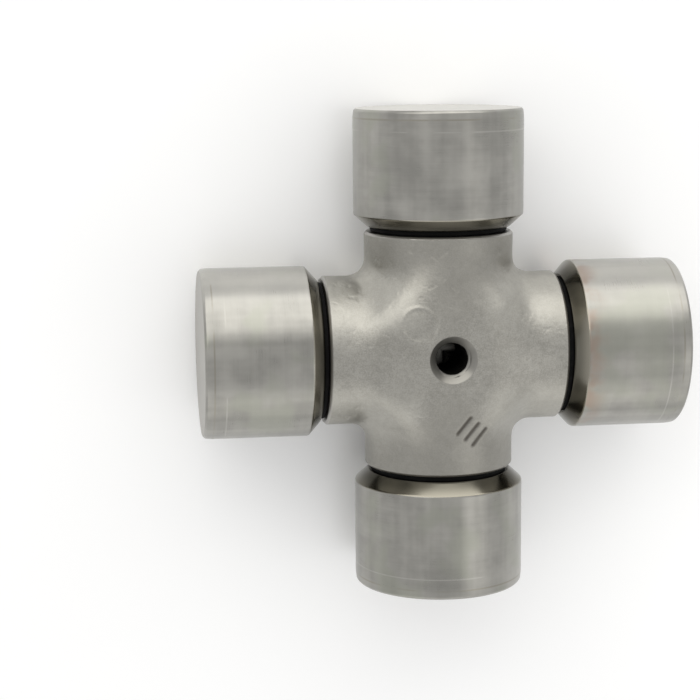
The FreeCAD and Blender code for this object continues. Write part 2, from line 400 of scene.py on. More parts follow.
class Recipe:
    """The node tree of one material, or of the world."""

    def __init__(self, owner: bpy.types.Material | bpy.types.World) -> None:
        owner.use_nodes = True
        self.owner = owner
        self.tree = owner.node_tree
        self.tree.nodes.clear()

    @classmethod
    def named(cls, name: str) -> "Recipe":
        """The recipe of a new material."""
        return cls(bpy.data.materials.new(name))

    def add(self, kind: str, settings: dict[str, Any] | None = None,
            inputs: dict[Any, Any] | None = None, output: str | int = 0) -> Signal:
        """Adds a node.

        Args:
            kind: Blender's type name of the node.
            settings: Its own settings, which are set first. "stops" gives a ramp's stops.
            inputs: Values or Signals of its sockets, by name or number.
            output: The output socket that is wanted.

        Returns:
            That output.
        """
        node = self.tree.nodes.new(kind)
        for name, value in (settings or {}).items():
            if name == "stops":
                self._fill_ramp(node.color_ramp, value)
            else:
                setattr(node, name, value)
        for key, value in (inputs or {}).items():
            if isinstance(value, Signal):
                self.tree.links.new(value.socket, node.inputs[key])
            else:
                node.inputs[key].default_value = value
        return Signal(self, node.outputs[output])

    @staticmethod
    def _fill_ramp(ramp: bpy.types.ColorRamp, stops: Sequence[tuple[float, Colour]]) -> None:
        """Writes a ramp's stops.

        Args:
            ramp: The ramp of a new node.
            stops: Place and colour of each stop, in rising order.
        """
        while len(ramp.elements) < len(stops):
            ramp.elements.new(1.0)
        for element, (place, colour) in zip(ramp.elements, stops):
            element.position = place
            element.color = (*colour, 1.0)

    def millimetres(self) -> Signal:
        """The piece's own coordinates, in millimetres."""
        place = self.add("ShaderNodeTexCoord", output="Object")
        return self.add("ShaderNodeVectorMath", {"operation": "SCALE"}, {0: place, "Scale": 1 / MM})

    def split(self, vector: Signal) -> tuple[Signal, Signal, Signal]:
        """The x, y and z of a vector."""
        node = self.add("ShaderNodeSeparateXYZ", inputs={0: vector}).socket.node
        return tuple(Signal(self, socket) for socket in node.outputs)

    def join(self, x: Any, y: Any, z: Any) -> Signal:
        """A vector of three values."""
        return self.add("ShaderNodeCombineXYZ", inputs={0: x, 1: y, 2: z})

    def noise(self, place: Signal, per_mm: float, detail: float = 2.0, roughness: float = 0.5) -> Signal:
        """Noise from 0 to 1.

        Args:
            place: Where, in millimetres.
            per_mm: Cells to a millimetre.
            detail: Finer layers on top of the first.
            roughness: Strength of each finer layer.

        Returns:
            The noise's value.
        """
        return self.add("ShaderNodeTexNoise", {}, {
            "Vector": place, "Scale": per_mm, "Detail": detail, "Roughness": roughness})

    def blend(self, first: Any, second: Any, share: Any) -> Signal:
        """Mixes two colours.

        Args:
            first: Colour where share is 0.
            second: Colour where share is 1.
            share: The mix.

        Returns:
            The mixed colour.
        """
        first = first if isinstance(first, Signal) else (*first, 1.0)
        second = second if isinstance(second, Signal) else (*second, 1.0)
        inputs = {0: share, 6: first, 7: second}
        return self.add("ShaderNodeMix", {"data_type": "RGBA"}, inputs, output=2)

    def coats(self, base: Any, coats: Sequence[tuple[Any, Any]]) -> Signal:
        """Lays colours over a base one after another.

        Args:
            base: The lowest colour.
            coats: Colour and share of each coat, from the lowest up.

        Returns:
            The colour on top.
        """
        for coat, share in coats:
            base = self.blend(base, coat, share)
        return base

    def bump(self, height: Signal, depth: float, normal: Signal | None = None) -> Signal:
        """A bumped normal.

        Args:
            height: Height of the relief, 0 to 1.
            depth: Depth of the relief in millimetres.
            normal: Normal to start from.

        Returns:
            The normal.
        """
        inputs = {"Strength": 1.0, "Distance": depth * MM, "Height": height}
        if normal is not None:
            inputs["Normal"] = normal
        return self.add("ShaderNodeBump", {}, inputs)

    def finish(self, **inputs: Any) -> bpy.types.Material:
        """Adds the surface shader.

        Args:
            inputs: Its sockets, with _ for a space in their names.

        Returns:
            The finished material.
        """
        named = {key.replace("_", " "): value for key, value in inputs.items()}
        shader = self.add("ShaderNodeBsdfPrincipled", {}, named)
        return self.put_out(shader)

    def put_out(self, shader: Signal) -> bpy.types.Material | bpy.types.World:
        """Links a shader to the output and gives back what it belongs to."""
        kind = "World" if isinstance(self.owner, bpy.types.World) else "Material"
        output = self.tree.nodes.new(f"ShaderNodeOutput{kind}")
        self.tree.links.new(shader.socket, output.inputs["Surface"])
        return self.owner


@dataclass(frozen=True)
class Bearings:
    """Where a point lies on its arm, as shader values in millimetres."""

    place: Signal
    x: Signal
    y: Signal
    z: Signal
    along: Signal
    across: Signal
    radius: Signal

    @classmethod
    def of(cls, recipe: Recipe) -> "Bearings":
        """Reads them from the piece's coordinates.

        Args:
            recipe: The material that uses them.

        Returns:
            along is the distance from the crossing along the arm, across the sideways
            distance from the arm's axis, and radius the distance from that axis.
        """
        place = recipe.millimetres()
        x, y, z = recipe.split(place)
        along = x.size().bigger(y.size())
        across = x.size().smaller(y.size())
        radius = (across * across + z * z).root()
        return cls(place, x, y, z, along, across, radius)


@dataclass(frozen=True)
class ForgedSteel:
    """Shot-blasted forging, ground bright where the arms were machined.

    Two coats stand in for the picture's own reflections and aren't finishes of the real part:
    lifted makes the hub's corners and the sides of the arms paler, and lowered darkens the
    north and south arms.
    """

    pale: Colour = (0.365, 0.355, 0.325)
    dark: Colour = (0.265, 0.257, 0.232)
    ground: Colour = (0.36, 0.35, 0.33)
    soot: Colour = (0.035, 0.028, 0.022)
    soot_share: float = 0.75
    # painted highlight: colour that makes the hub's corners and the sides of the arms paler
    lifted: Colour = (0.47, 0.457, 0.415)
    lifted_share: float = 0.3
    # painted shade: share of the dark colour laid over the north and south arms
    lowered_share: float = 0.55
    countersink: Colour = (0.27, 0.262, 0.24)
    roughness: float = 0.43
    ground_roughness: float = 0.32
    patches_per_mm: float = 0.16
    pits_per_mm: float = 0.42
    dents_per_mm: float = 0.85
    grain_per_mm: float = 3.2
    dent_depth: float = 0.04
    pit_depth: float = 0.06
    grain_depth: float = 0.02
    machined_from: float = 25.98
    port_radius: float = 5.3
    oil: Colour = (0.010, 0.0095, 0.0085)
    oil_roughness: float = 0.75
    oil_level: float = 17.4
    oil_fade: float = 1.2

    def material(self) -> bpy.types.Material:
        """The finish as a material."""
        recipe = Recipe.named("forged_steel")
        on = Bearings.of(recipe)
        patches = recipe.noise(on.place, self.patches_per_mm, 3.0)
        dents = recipe.noise(on.place, self.dents_per_mm, 2.0, 0.6)
        grain = recipe.noise(on.place, self.grain_per_mm, 3.0, 0.65)
        pits = recipe.noise(on.place, self.pits_per_mm, 2.0).rise(0.55, 0.78)
        tone = (patches * 0.3 + dents * 0.3 + grain * 0.6 - 0.1).rise(0.32, 0.68)
        # painted shade darkens the north and south arms
        painted_shade = (on.y.size() - on.x.size()).rise(2.0, 12.0)
        # painted highlight on the hub's corners and the sides of the east and west arms
        lifted = on.across.rise(4.0, 10.0) * (1 - painted_shade)
        machined = on.along.rise(self.machined_from - 0.04, self.machined_from + 0.04)
        centre = (on.x * on.x + on.y * on.y).root()
        bored = centre.rise(self.port_radius + 0.02, self.port_radius - 0.02) * on.z.rise(0.0, 1.0)
        oiled = bored * on.z.rise(self.oil_level, self.oil_level - self.oil_fade)
        recess = recipe.add("ShaderNodeAttribute", {"attribute_name": "recess"}, output="Fac")
        colour = recipe.coats(recipe.blend(self.dark, self.pale, tone), [
            (self.lifted, lifted * self.lifted_share), (self.dark, painted_shade * self.lowered_share),
            (self.ground, machined), (self.countersink, bored), (self.oil, oiled),
            (self.soot, recess * self.soot_share)])
        bright = machined.bigger(bored)
        raw = 1 - bright
        rough = (self.roughness + 0.16 * (grain - 0.5)).toward(self.ground_roughness, bright)
        rough = rough.toward(self.oil_roughness, oiled)
        dented = recipe.bump(dents * raw, self.dent_depth)
        pitted = recipe.bump(pits * (bright - 1), self.pit_depth, dented)
        normal = recipe.bump(grain * raw, self.grain_depth, pitted)
        return recipe.finish(Base_Color=colour, Metallic=1.0, Roughness=rough, Normal=normal)


@dataclass(frozen=True)
class GroundSteel:
    """Ground and lightly polished bearing steel, with the marks of the wheel round each arm.

    Three coats stand in for the picture's own reflections and aren't finishes of the real part:
    lamp_side is the paler north flank of the east and west cups, shade_side the darker east
    flank of the north cup, and north_face its paler end. They turn with the cups.
    """

    pale: Colour = (0.365, 0.356, 0.330)
    dark: Colour = (0.245, 0.240, 0.222)
    film: Colour = (0.300, 0.305, 0.262)
    film_share: float = 0.6
    # painted reflection of the lamp: the paler north flank of the east and west cups
    lamp_side: Colour = (0.48, 0.47, 0.44)
    lamp_share: float = 0.5
    # painted shade: the darker east flank of the north cup
    shade_side: Colour = (0.17, 0.165, 0.15)
    shade_share: float = 0.6
    tint: Colour = (0.29, 0.225, 0.185)
    tint_share: float = 0.8
    taper_outer: Colour = (0.255, 0.240, 0.200)
    # taper colour towards the mouth: grease, and painted shade where the shoulder closes over the taper
    taper_inner: Colour = (0.150, 0.142, 0.118)
    face: Colour = (0.40, 0.39, 0.365)
    # painted reflection: the paler end face of the north cup
    north_face: Colour = (0.60, 0.59, 0.56)
    roughness: float = 0.30
    taper_roughness: float = 0.17
    face_roughness: float = 0.50
    bands_per_mm: float = 0.55
    lines_per_mm: float = 6.0
    clouds_per_mm: float = 0.11
    film_per_mm: float = 0.09
    streaks_per_mm: float = 0.28
    line_depth: float = 0.0015
    taper_end: float = 30.35
    taper_fall: float = 2.0
    tint_end: float = 36.0
    lead_line: float = 51.7
    lead_share: float = 0.7
    stop_line: float = 49.1
    stop_share: float = 0.6
    end: float = 53.7

    def material(self) -> bpy.types.Material:
        """The finish as a material."""
        recipe = Recipe.named("ground_steel")
        on = Bearings.of(recipe)
        walk = on.along + on.radius
        round_arm = recipe.join(walk * self.lines_per_mm, on.across * 0.12, on.z * 0.12)
        lines = recipe.noise(round_arm, 1.0, 3.0, 0.6)
        round_arm = recipe.join(walk * self.bands_per_mm, on.x * 0.05, on.z * 0.1)
        bands = recipe.noise(round_arm, 1.0, 2.0)
        clouds = recipe.noise(on.place, self.clouds_per_mm, 3.0, 0.55)
        side = on.across * (on.x * on.y).sign()
        along_arm = recipe.join(on.x * 0.05 + on.y * 0.08, side, on.z)
        streaks = recipe.noise(along_arm, self.streaks_per_mm, 2.0)
        tone = lines * 0.12 + bands * 0.24 + clouds * 0.8 + streaks * 0.6 - 0.38
        filmed = recipe.noise(recipe.join(on.z, on.x, on.y), self.film_per_mm, 2.0).rise(0.48, 0.62)
        side_arm = (on.x.size() - on.y.size()).rise(0.0, 3.0)
        # painted reflection of the lamp on the north flank of the east and west cups
        lamp = on.y.rise(9.5, 16.5) * side_arm
        # painted shade on the east flank of the north cup
        shade = on.x.rise(13.0, 19.5) * on.y.rise(20.0, 26.0)
        heat = on.along.rise(self.tint_end, self.taper_end) * clouds.rise(0.42, 0.60)
        heat = heat * on.x.rise(20.0, 26.0)
        lead = (on.along - self.lead_line).size().rise(0.28, 0.06) * clouds.rise(0.38, 0.55)
        stop = (on.along - self.stop_line).size().rise(0.22, 0.05) * clouds.rise(0.60, 0.45)
        taper = on.along.rise(self.taper_end + 0.1, self.taper_end - 0.1)
        # inner darkens the taper towards the mouth: grease there, and painted shade
        inner = on.along.rise(self.taper_end, self.taper_end - self.taper_fall)
        face = on.along.rise(self.end - 0.04, self.end)
        # north picks out the north cup, whose end face gets a painted reflection
        north = on.y.rise(20.0, 40.0)
        colour = recipe.coats(recipe.blend(self.dark, self.pale, tone.rise(0.22, 0.78)), [
            (self.film, filmed * self.film_share), (self.lamp_side, lamp * self.lamp_share),
            (self.shade_side, shade * self.shade_share), (self.tint, heat * self.tint_share),
            (self.taper_outer, lead * self.lead_share), (self.face, stop * self.stop_share),
            (recipe.blend(self.taper_outer, self.taper_inner, inner), taper),
            (recipe.blend(self.face, self.north_face, north), face)])
        rough = self.roughness + 0.08 * (lines - 0.5) + 0.12 * (clouds - 0.5)
        rough = rough.toward(self.taper_roughness, taper).toward(self.face_roughness, face)
        normal = recipe.bump(lines, self.line_depth)
        return recipe.finish(Base_Color=colour, Metallic=1.0, Roughness=rough, Normal=normal)


@dataclass(frozen=True)
class SealRubber:
    """Black moulded rubber with a faint bloom."""

    black: Colour = (0.003, 0.003, 0.003)
    bloom: Colour = (0.007, 0.007, 0.007)
    roughness: float = 0.7

    def material(self) -> bpy.types.Material:
        """The finish as a material."""
        recipe = Recipe.named("seal_rubber")
        on = Bearings.of(recipe)
        clouds = recipe.noise(on.place, 0.6, 3.0)
        colour = recipe.blend(self.black, self.bloom, clouds.rise(0.45, 0.75))
        normal = recipe.bump(recipe.noise(on.place, 5.0, 2.0), 0.01)
        rough = self.roughness + 0.15 * (clouds - 0.5)
        return recipe.finish(Base_Color=colour, Roughness=rough, Normal=normal, Specular_IOR_Level=0.08)


@dataclass(frozen=True)
class PlainSteel:
    """Steel of a small part inside the cup: lapped needles or stamped washers."""

    name: str
    pale: Colour
    dark: Colour
    roughness: float
    grain_per_mm: float

    def material(self) -> bpy.types.Material:
        """The finish as a material."""
        recipe = Recipe.named(self.name)
        on = Bearings.of(recipe)
        grain = recipe.noise(on.place, self.grain_per_mm, 2.0)
        colour = recipe.blend(self.dark, self.pale, grain.rise(0.3, 0.7))
        normal = recipe.bump(grain, 0.003)
        rough = self.roughness + 0.08 * (grain - 0.5)
        return recipe.finish(Base_Color=colour, Metallic=1.0, Roughness=rough, Normal=normal)


@dataclass(frozen=True)
class ThrustNylon:
    """Moulded cream nylon of the thrust washers, faintly mottled."""

    pale: Colour = (0.62, 0.58, 0.48)
    dark: Colour = (0.50, 0.46, 0.37)
    roughness: float = 0.45

    def material(self) -> bpy.types.Material:
        """The finish as a material."""
        recipe = Recipe.named("thrust_nylon")
        on = Bearings.of(recipe)
        mottle = recipe.noise(on.place, 0.5, 3.0)
        colour = recipe.blend(self.dark, self.pale, mottle.rise(0.3, 0.7))
        normal = recipe.bump(recipe.noise(on.place, 6.0, 1.0), 0.004)
        rough = self.roughness + 0.1 * (mottle - 0.5)
        return recipe.finish(Base_Color=colour, Roughness=rough, Normal=normal,
                             Subsurface_Weight=0.1, Subsurface_Radius=(0.002, 0.0016, 0.001))


def span(node: str) -> tuple[np.ndarray, np.ndarray]:
    """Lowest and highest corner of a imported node, in millimetres."""
    low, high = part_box(node)
    return np.array(low) / MM, np.array(high) / MM


@dataclass
class Spider:
    """The forged cross with its four ground trunnions, the grease port and the channels."""

    shoulder: float = 26.5
    shoulder_break: float = 0.5
    barrel_radius: float = 16.65
    web_radius: float = 4.0
    flank_radius: float = 23.8
    flank_blend: float = 2.6
    hub_reach: float = 22.0
    hub_blend: float = 1.6
    pad_half: float = 8.9
    pad_slope: float = 0.19
    pad_blend: float = 1.5
    land_radius: float = 12.0
    land_end: float = 30.4
    land_break: float = 0.35
    track_radius: float = 11.25
    trunnion_break: float = 0.8
    channel_radius: float = 2.5
    centre_radius: float = 4.5
    centre_depth: float = 3.4
    port_radius: float = 3.5
    port_mouth_radius: float = 5.2
    thread_pitch: float = 1.0
    thread_depth: float = 0.52
    thread_end: float = 8.0
    ring_place: tuple[float, float] = (-7.5, 7.9)
    ring_radius: float = 3.7
    ring_width: float = 0.34
    ring_height: float = 0.22
    stroke_place: tuple[float, float] = (4.4, -16.2)
    stroke_turn: float = math.radians(52)
    stroke_length: float = 4.6
    stroke_gap: float = 2.3
    stroke_width: float = 0.42
    stroke_depth: float = 0.24
    under_columns: int = 45
    side_columns: int = 100
    port_columns: int = 20
    body_rows: int = 56
    row_bias: float = 0.75
    turned_columns: int = 72
    bottom_columns: int = 21

    def __post_init__(self) -> None:
        low, high = span("spider")
        self.trunnion_end = high[0]
        self.top = high[2]
        self.coarse = Lattice(11)
        self.fine = Lattice(23)

    def punched(self, points: np.ndarray) -> np.ndarray:
        """Share of the depth of the inspector's three punched strokes, 1 at their bottom.

        Args:
            points: Points on the cross.

        Returns:
            A steep bell across the distance from each stroke's middle line.
        """
        x, y, z = np.moveaxis(points, -1, 0)
        cosine, sine = math.cos(self.stroke_turn), math.sin(self.stroke_turn)
        east, north = x - self.stroke_place[0], y - self.stroke_place[1]
        lengthwise, sideways = east * cosine + north * sine, north * cosine - east * sine
        share = np.zeros(x.shape)
        for number in (-1, 0, 1):
            past_end = np.maximum(np.abs(lengthwise) - self.stroke_length / 2, 0.0)
            distance = np.hypot(past_end, sideways - number * self.stroke_gap)
            share = np.maximum(share, np.exp(-((distance / self.stroke_width) ** 4)))
        return share * (z > 0.0)

    def relief(self, points: np.ndarray) -> np.ndarray:
        """Height of the forging's unevenness and marks above the even form.

        Noise of two sizes lies on the raw skin. It fades out towards the machined rims and the
        countersink, which were cut after the forging. A raised ring, left by the die's ejector,
        and the punched strokes are added.

        Args:
            points: Points on the cross.

        Returns:
            The height in millimetres.
        """
        x, y, z = np.moveaxis(points, -1, 0)
        along = np.maximum(np.abs(x), np.abs(y))
        raw = 1 - smoothstep(along, self.shoulder - 4.0, self.shoulder - 1.2)
        mouth = self.port_mouth_radius
        raw = raw * smoothstep(np.hypot(x, y), mouth + 0.3, mouth + 3.5)
        uneven = 0.09 * self.coarse.at(points, 7.0) + 0.035 * self.fine.at(points, 2.2)
        from_ring = np.hypot(x - self.ring_place[0], y - self.ring_place[1]) - self.ring_radius
        ring = np.exp(-((from_ring / self.ring_width) ** 2)) * (0.65 + 0.5 * self.fine.at(points, 2.6))
        ring = self.ring_height * ring * (z > 0.0)
        return uneven * raw + ring - self.stroke_depth * self.punched(points)

    def field(self, points: np.ndarray) -> np.ndarray:
        """Field of the forged body, negative inside.

        Two crossing barrels are joined with a fillet whose width follows the angle at which
        they meet, 4 r (1 - cosine of half that angle). The hub fills the corners between them:
        its flanks are parts of cylinders that lie along the diagonals, and its top and bottom
        are square pads that fall away gently towards the arms.

        Args:
            points: Array whose last axis holds x, y and z.

        Returns:
            About the distance from the surface.
        """
        x, y, z = np.moveaxis(points, -1, 0)
        from_x, from_y = np.hypot(y, z), np.hypot(x, z)
        facing = np.clip(z * z / np.maximum(from_x * from_y, 1e-6), 0.0, 1.0)
        width = 4 * self.web_radius * (1 - np.sqrt((1 + facing) / 2))
        barrels = smooth_union(from_x - self.barrel_radius, from_y - self.barrel_radius, width)
        east, north = np.abs(x), np.abs(y)
        flank = np.hypot((east + north) / math.sqrt(2), z) - self.flank_radius
        further = -smooth_union(-east, -north, self.pad_blend)
        fall = self.pad_slope * -smooth_union(self.pad_half - further, 0.0 * further, self.pad_blend)
        pad = (np.abs(z) - self.top + fall) / math.hypot(1.0, self.pad_slope)
        hub = -smooth_union(-flank, -pad, self.flank_blend)
        hub = np.maximum(hub, further - self.hub_reach)
        return smooth_union(barrels, hub, self.hub_blend) - self.relief(points)

    def body_sector(self, arm: Arm) -> tuple[np.ndarray, np.ndarray, slice]:
        """The forged skin that belongs to one arm, up to its shoulder rim.

        A column is an angle about the arm's axis, and a row a place along the arm. The radius
        is where the ray from the axis leaves the body. The first row lies on the planes
        between the arms, and at the top on the rim of the grease port.

        Args:
            arm: The arm.

        Returns:
            The grid for the east arm's place, the angles, and the columns on the port's rim.
        """
        corner = math.atan2(self.top, self.port_mouth_radius / math.sqrt(2))
        under = np.linspace(-math.pi / 2, 0.0, self.under_columns, endpoint=False)
        side = np.concatenate([under, np.linspace(0.0, corner, self.side_columns, endpoint=False)])
        over = np.linspace(corner, math.pi - corner, self.port_columns + 1)
        angle = np.concatenate([side, over, (math.pi - side[1:])[::-1]])
        rim = slice(side.size, side.size + over.size)
        cosine, sine = np.cos(angle), np.sin(angle)

        def between(reach: np.ndarray) -> np.ndarray:
            sideways = reach * cosine
            return self.field(arm.place(np.stack([np.abs(sideways), sideways, reach * sine], axis=-1)))

        low, high = np.full(angle.shape, 8.0), np.full(angle.shape, 40.0)
        start = np.abs(solve(between, low, high) * cosine)
        across = self.top / sine[rim] * cosine[rim]
        start[rim] = np.sqrt(self.port_mouth_radius**2 - across**2)
        last = self.shoulder - 2 * self.shoulder_break
        share = np.linspace(0.0, 1.0, self.body_rows)[:, None]
        along = start + (last - start) * share * (self.row_bias + (1 - self.row_bias) * share)

        def outward(reach: np.ndarray) -> np.ndarray:
            return self.field(arm.place(np.stack([along, reach * cosine, reach * sine], axis=-1)))

        reach = solve(outward, np.full(along.shape, 8.0), np.full(along.shape, 40.0))
        return np.stack([along, reach * cosine, reach * sine], axis=-1), angle, rim

    def port_sector(self, arm: Arm, rim: np.ndarray) -> np.ndarray:
        """The quarter of the grease port that lies on one arm's side.

        The radius is the countersink's cone or the thread, whichever is larger. The thread is
        a V groove whose place climbs one pitch a turn. The last row lies on the channel.

        Args:
            arm: The arm.
            rim: Points of the port's rim, for the east arm's place.

        Returns:
            The grid from the rim down, for the east arm's place.
        """
        turn = np.arctan2(rim[:, 1], rim[:, 0])
        bottom = np.sqrt(self.channel_radius**2 - (self.port_radius * np.sin(turn)) ** 2)
        cone = np.array([0.25, 0.9])
        threaded = np.arange(self.top - 1.1, self.thread_end, -self.thread_pitch / 10)
        height = np.concatenate([self.top - cone, threaded])[:, None] + np.zeros_like(turn)
        phase = (height / self.thread_pitch - turn / FULL_TURN - arm.value / 4) % 1.0
        groove = np.clip((0.4375 - np.abs(phase - 0.5)) / 0.375, 0.0, 1.0)
        fade = smoothstep(height, self.thread_end, self.thread_end + 1.5)
        thread = self.port_radius + self.thread_depth * groove * fade
        radius = np.maximum(self.port_mouth_radius - (self.top - height), thread)
        plain = np.linspace(self.thread_end, bottom, 3)
        height = np.vstack([height, plain])
        radius = np.vstack([radius, np.full(plain.shape, self.port_radius)])
        wall = np.stack([radius * np.cos(turn), radius * np.sin(turn), height], axis=-1)
        return np.concatenate([rim[None], wall])

    def channel(self, mouth: np.ndarray) -> tuple[np.ndarray, np.ndarray]:
        """The grease channel of one arm, from the port to the centre hole in the trunnion.

        Its inner end lies on the port's wall above and on the planes between the channels
        below, where x equals the size of y.

        Args:
            mouth: The port's last row on this arm's side.

        Returns:
            The grid, and the angle of each column.
        """
        above = np.arctan2(mouth[:, 2], mouth[:, 1])
        below = np.linspace(above[-1], FULL_TURN + above[0], self.bottom_columns + 2)[1:-1]
        angle = np.concatenate([above, below])
        sideways = self.channel_radius * np.cos(angle)
        inner = np.concatenate([mouth[:, 0], np.abs(sideways[above.size:])])
        cone = self.trunnion_end - self.centre_depth
        rows = [(inner, self.channel_radius), (5.0, self.channel_radius), (20.0, self.channel_radius),
                (cone, self.channel_radius), (self.trunnion_end, self.centre_radius)]
        grid = [np.stack([along + 0 * angle, radius * np.cos(angle), radius * np.sin(angle)], axis=-1)
                for along, radius in rows]
        return np.stack(grid), angle

    def rim_profile(self) -> np.ndarray:
        """Outline of the shoulder's rim, from the barrel to the flat face."""
        barrel, face = self.barrel_radius, self.shoulder
        return rounded([
            (face - 2 * self.shoulder_break, barrel, 0.0),
            (face - self.shoulder_break, barrel, 0.15),
            (face, barrel - self.shoulder_break, 0.12),
            (face, self.land_radius + 2.0, 0.0)], steps=3)[5:]

    def trunnion_profile(self) -> np.ndarray:
        """Outline of the trunnion, from the shoulder face to the centre hole."""
        land, track, end = self.land_radius, self.track_radius, self.trunnion_end
        return rounded([
            (self.shoulder, land + 2.0, 0.0), (self.shoulder, land, 0.4),
            (self.land_end - self.land_break, land, 0.1),
            (self.land_end, track, 0.08), (end - self.trunnion_break, track, 0.2),
            (end, track - self.trunnion_break, 0.2), (end, self.centre_radius + 0.3, 0.0)], steps=3)

    def mark_recesses(self, mesh: bpy.types.Mesh) -> None:
        """Stores on each point how deep it lies in a punched stroke, for the soot in it."""
        place = np.empty(len(mesh.vertices) * 3)
        mesh.vertices.foreach_get("co", place)
        recess = mesh.attributes.new("recess", "FLOAT", "POINT")
        recess.data.foreach_set("value", self.punched(place.reshape(-1, 3) / MM).astype(np.float32))

    def build(self) -> bpy.types.Object:
        """Makes the cross as one closed mesh and dresses it."""
        shell = Shell()
        for arm in Arm:
            skin, angle, rim = self.body_sector(arm)
            shell.patch(arm.place(skin))
            port = self.port_sector(arm, skin[0, rim])
            shell.patch(arm.place(port), closed=False)
            profile = self.rim_profile()
            ring = np.stack([profile[:, :1] + 0 * angle, profile[:, 1:] * np.cos(angle),
                             profile[:, 1:] * np.sin(angle)], axis=-1)
            face = shell.patch(arm.place(np.concatenate([skin[-1:], ring])))
            trunnion = shell.patch(arm.place(lathe(self.trunnion_profile(), self.turned_columns)))
            turned_angle = np.arange(self.turned_columns) * FULL_TURN / self.turned_columns
            shell.lace(face[-1], trunnion[0], angle, turned_angle)
            tube, tube_angle = self.channel(port[-1])
            tube_numbers = shell.patch(arm.place(tube))
            shell.lace(trunnion[-1], tube_numbers[-1], turned_angle, tube_angle)
        piece = shell.piece("forged_spider")
        self.mark_recesses(piece.data)
        piece.data.materials.append(ForgedSteel().material())
        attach(piece, "cross")
        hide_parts("spider")
        return piece


@dataclass
class BearingCup:
    """A turned and ground cup, closed at the outer end."""

    arm: Arm
    wall: float = 4.65
    floor: float = 4.5
    end_break: float = 0.5
    lead_length: float = 1.5
    lead_depth: float = 0.15
    taper_length: float = 2.7
    taper_depth: float = 3.0
    bore_break: float = 0.4
    relief_width: float = 1.0
    relief_depth: float = 0.3
    columns: int = 240

    def __post_init__(self) -> None:
        low, high = span("bearing_cup_east")
        self.mouth, self.end, self.radius = low[0], high[0], high[1]
        self.bore = self.radius - self.wall

    def profile(self) -> np.ndarray:
        """Outline of the cup, from the middle of its floor inside round to its end face."""
        inside = self.end - self.floor
        relief = self.bore + self.relief_depth
        lead = self.end - self.end_break
        return rounded([
            (inside, 0.0, 0.0), (inside, relief, 0.1), (inside - self.relief_width, relief, 0.1),
            (inside - self.relief_width - self.relief_depth, self.bore, 0.1),
            (self.mouth + self.bore_break, self.bore, 0.1),
            (self.mouth, self.bore + self.bore_break, 0.1),
            (self.mouth, self.radius - self.taper_depth, 0.12),
            (self.mouth + self.taper_length, self.radius, 0.35),
            (lead - self.lead_length, self.radius, 0.4), (lead, self.radius - self.lead_depth, 0.2),
            (self.end, self.radius - self.lead_depth - self.end_break, 0.2), (self.end, 0.0, 0.0)])

    def build(self, steel: bpy.types.Material) -> bpy.types.Object:
        """Makes the cup.

        Args:
            steel: Its finish.

        Returns:
            The piece, riding on its own body.
        """
        shell = Shell()
        shell.patch(self.arm.place(lathe(self.profile(), self.columns)))
        piece = shell.piece(f"ground_cup_{self.arm.label}")
        piece.data.materials.append(steel)
        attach(piece, f"cup_{self.arm.label}")
        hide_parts(f"bearing_cup_{self.arm.label}")
        return piece


@dataclass
class LipSeal:
    """A rubber seal in the mouth of a cup, with lips on the land of the trunnion."""

    arm: Arm
    lip_gap: float = 0.08
    lip_width: float = 0.45
    lip_slope: float = 0.45
    web: float = 1.35
    land_radius: float = 12.0
    wall: float = 4.65
    bore_break: float = 0.4
    plug_length: float = 2.7
    columns: int = 120

    def __post_init__(self) -> None:
        low, high = span("lip_seal_east")
        self.face, self.back, self.flange_radius = low[0], high[0], high[1]
        self.bore = span("bearing_cup_east")[1][1] - self.wall

    def profile(self) -> np.ndarray:
        """Outline of the seal, once round its section."""
        lip, root = self.land_radius + self.lip_gap, self.bore - self.web
        mouth = self.back - self.plug_length
        inner = mouth + self.plug_length / 2
        return rounded([
            (self.face, lip, 0.0), (self.face, self.flange_radius, 0.25),
            (mouth, self.flange_radius, 0.05),
            (mouth, self.bore + self.bore_break, 0.02), (mouth + self.bore_break, self.bore, 0.05),
            (self.back, self.bore, 0.1), (self.back, root, 0.1),
            (inner + self.lip_width + self.lip_slope, root, 0.1), (inner + self.lip_width, lip, 0.1),
            (inner, lip, 0.1), (inner - self.lip_slope, root, 0.1),
            (self.face + self.lip_width + self.lip_slope, root, 0.1),
            (self.face + self.lip_width, lip, 0.1),
            (self.face, lip, 0.0)], steps=3)

    def build(self, rubber: bpy.types.Material) -> bpy.types.Object:
        """Makes the seal.

        Args:
            rubber: Its finish.

        Returns:
            The piece, riding on the cup's body.
        """
        shell = Shell()
        shell.patch(self.arm.place(lathe(self.profile(), self.columns)))
        piece = shell.piece(f"rubber_seal_{self.arm.label}")
        piece.data.materials.append(rubber)
        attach(piece, f"cup_{self.arm.label}")
        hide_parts(f"lip_seal_{self.arm.label}")
        return piece


@dataclass
class BearingInside:
    """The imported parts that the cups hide: needles, needle washers and thrust washers."""

    nodes: dict[str, bpy.types.Object]

    def dress(self) -> None:
        """Gives each of them its finish."""
        finishes = {
            "needle_rollers": PlainSteel(
                "needle_steel", pale=(0.62, 0.61, 0.60), dark=(0.52, 0.51, 0.50),
                roughness=0.16, grain_per_mm=2.0),
            "needle_washer": PlainSteel(
                "washer_steel", pale=(0.52, 0.51, 0.49), dark=(0.40, 0.39, 0.37),
                roughness=0.34, grain_per_mm=1.2),
            "thrust_washer": ThrustNylon(),
        }
        for kind, finish in finishes.items():
            material = finish.material()
            for arm in Arm:
                for place in self.nodes[f"{kind}_{arm.label}"].material_slots:
                    place.material = material
            LOG.info("dressed %s", kind)


